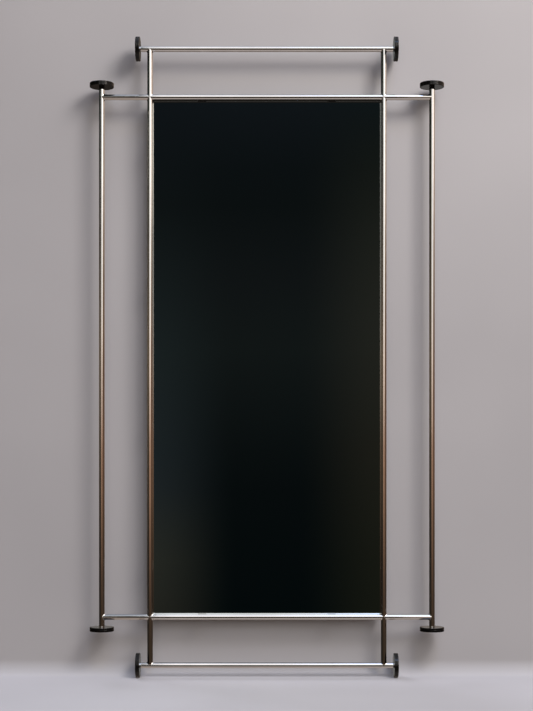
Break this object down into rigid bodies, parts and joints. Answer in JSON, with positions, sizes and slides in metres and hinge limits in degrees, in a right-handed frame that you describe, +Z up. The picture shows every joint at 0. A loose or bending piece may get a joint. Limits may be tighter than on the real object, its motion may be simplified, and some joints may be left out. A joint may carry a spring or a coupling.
{
  "type": "rolling floor mirror",
  "caption": "Tall mirror behind a lattice of chromed tubes whose outer rails carry black wheels, so it leans on a wall and rolls.",
  "frame": {"origin": "on the floor, under the centre of the frame, in the plane of the tubes, with the mirror upright", "axes": "+Z up along the mirror's height, +X to the right as the mirror is looked into, +Y to the back; the mirror faces -Y"},
  "size_m": [1.028, 0.07, 1.858],
  "materials": {
    "chrome": "polished",
    "silvered_glass": "silvered",
    "gloss_black": "polished",
    "tyre_rubber": "smooth",
    "cap_black": "moulded",
    "plain_steel": "zinc plated",
    "screw_steel": "zinc plated",
    "spacer_alloy": "turned",
    "bearing_steel": "ground",
    "board": "black stained fibreboard",
    "foam": "foam",
    "buffer_rubber": "matt"
  },
  "bodies": {
    "frame": {"upright_left": "chrome", "upright_right": "chrome", "cross_tube_top": "chrome", "cross_tube_bottom": "chrome", "stub_top_left": "chrome", "stub_top_right": "chrome", "stub_bottom_left": "chrome", "stub_bottom_right": "chrome", "rail_top": "chrome", "rail_bottom": "chrome", "rail_left": "chrome", "rail_right": "chrome", "weld_fillets": "chrome", "end_plugs": "plain_steel", "axle_screws": "screw_steel", "wheel_spacers": "spacer_alloy", "bearing_inner_rings": "bearing_steel", "mirror_glass": "silvered_glass", "foam_tape": "foam", "backing_board": "board", "glazing_buffers": "buffer_rubber", "fixing_brackets": "plain_steel", "bracket_screws": "screw_steel"},
    "wheel_top_left": {"wheel_disc_top_left": "gloss_black", "tyre_top_left": "tyre_rubber", "bearing_top_left": "bearing_steel", "hub_cap_top_left": "cap_black"},
    "wheel_top_right": {"wheel_disc_top_right": "gloss_black", "tyre_top_right": "tyre_rubber", "bearing_top_right": "bearing_steel", "hub_cap_top_right": "cap_black"},
    "wheel_bottom_left": {"wheel_disc_bottom_left": "gloss_black", "tyre_bottom_left": "tyre_rubber", "bearing_bottom_left": "bearing_steel", "hub_cap_bottom_left": "cap_black"},
    "wheel_bottom_right": {"wheel_disc_bottom_right": "gloss_black", "tyre_bottom_right": "tyre_rubber", "bearing_bottom_right": "bearing_steel", "hub_cap_bottom_right": "cap_black"},
    "wheel_left_upper": {"wheel_disc_left_upper": "gloss_black", "tyre_left_upper": "tyre_rubber", "bearing_left_upper": "bearing_steel", "hub_cap_left_upper": "cap_black"},
    "wheel_left_lower": {"wheel_disc_left_lower": "gloss_black", "tyre_left_lower": "tyre_rubber", "bearing_left_lower": "bearing_steel", "hub_cap_left_lower": "cap_black"},
    "wheel_right_upper": {"wheel_disc_right_upper": "gloss_black", "tyre_right_upper": "tyre_rubber", "bearing_right_upper": "bearing_steel", "hub_cap_right_upper": "cap_black"},
    "wheel_right_lower": {"wheel_disc_right_lower": "gloss_black", "tyre_right_lower": "tyre_rubber", "bearing_right_lower": "bearing_steel", "hub_cap_right_lower": "cap_black"}
  },
  "joints": [
    {"name": "spin_top_left", "type": "hinge", "parent": "frame", "child": "wheel_top_left", "pos_m": [-0.374, 0, 1.823], "axis": [-1, 0, 0], "continuous": true},
    {"name": "spin_top_right", "type": "hinge", "parent": "frame", "child": "wheel_top_right", "pos_m": [0.374, 0, 1.823], "axis": [1, 0, 0], "continuous": true},
    {"name": "spin_bottom_left", "type": "hinge", "parent": "frame", "child": "wheel_bottom_left", "pos_m": [-0.374, 0, 0.035], "axis": [-1, 0, 0], "continuous": true},
    {"name": "spin_bottom_right", "type": "hinge", "parent": "frame", "child": "wheel_bottom_right", "pos_m": [0.374, 0, 0.035], "axis": [1, 0, 0], "continuous": true},
    {"name": "spin_left_upper", "type": "hinge", "parent": "frame", "child": "wheel_left_upper", "pos_m": [-0.479, 0, 1.718], "axis": [0, 0, 1], "continuous": true},
    {"name": "spin_left_lower", "type": "hinge", "parent": "frame", "child": "wheel_left_lower", "pos_m": [-0.479, 0, 0.14], "axis": [0, 0, -1], "continuous": true},
    {"name": "spin_right_upper", "type": "hinge", "parent": "frame", "child": "wheel_right_upper", "pos_m": [0.479, 0, 1.718], "axis": [0, 0, 1], "continuous": true},
    {"name": "spin_right_lower", "type": "hinge", "parent": "frame", "child": "wheel_right_lower", "pos_m": [0.479, 0, 0.14], "axis": [0, 0, -1], "continuous": true}
  ]
}
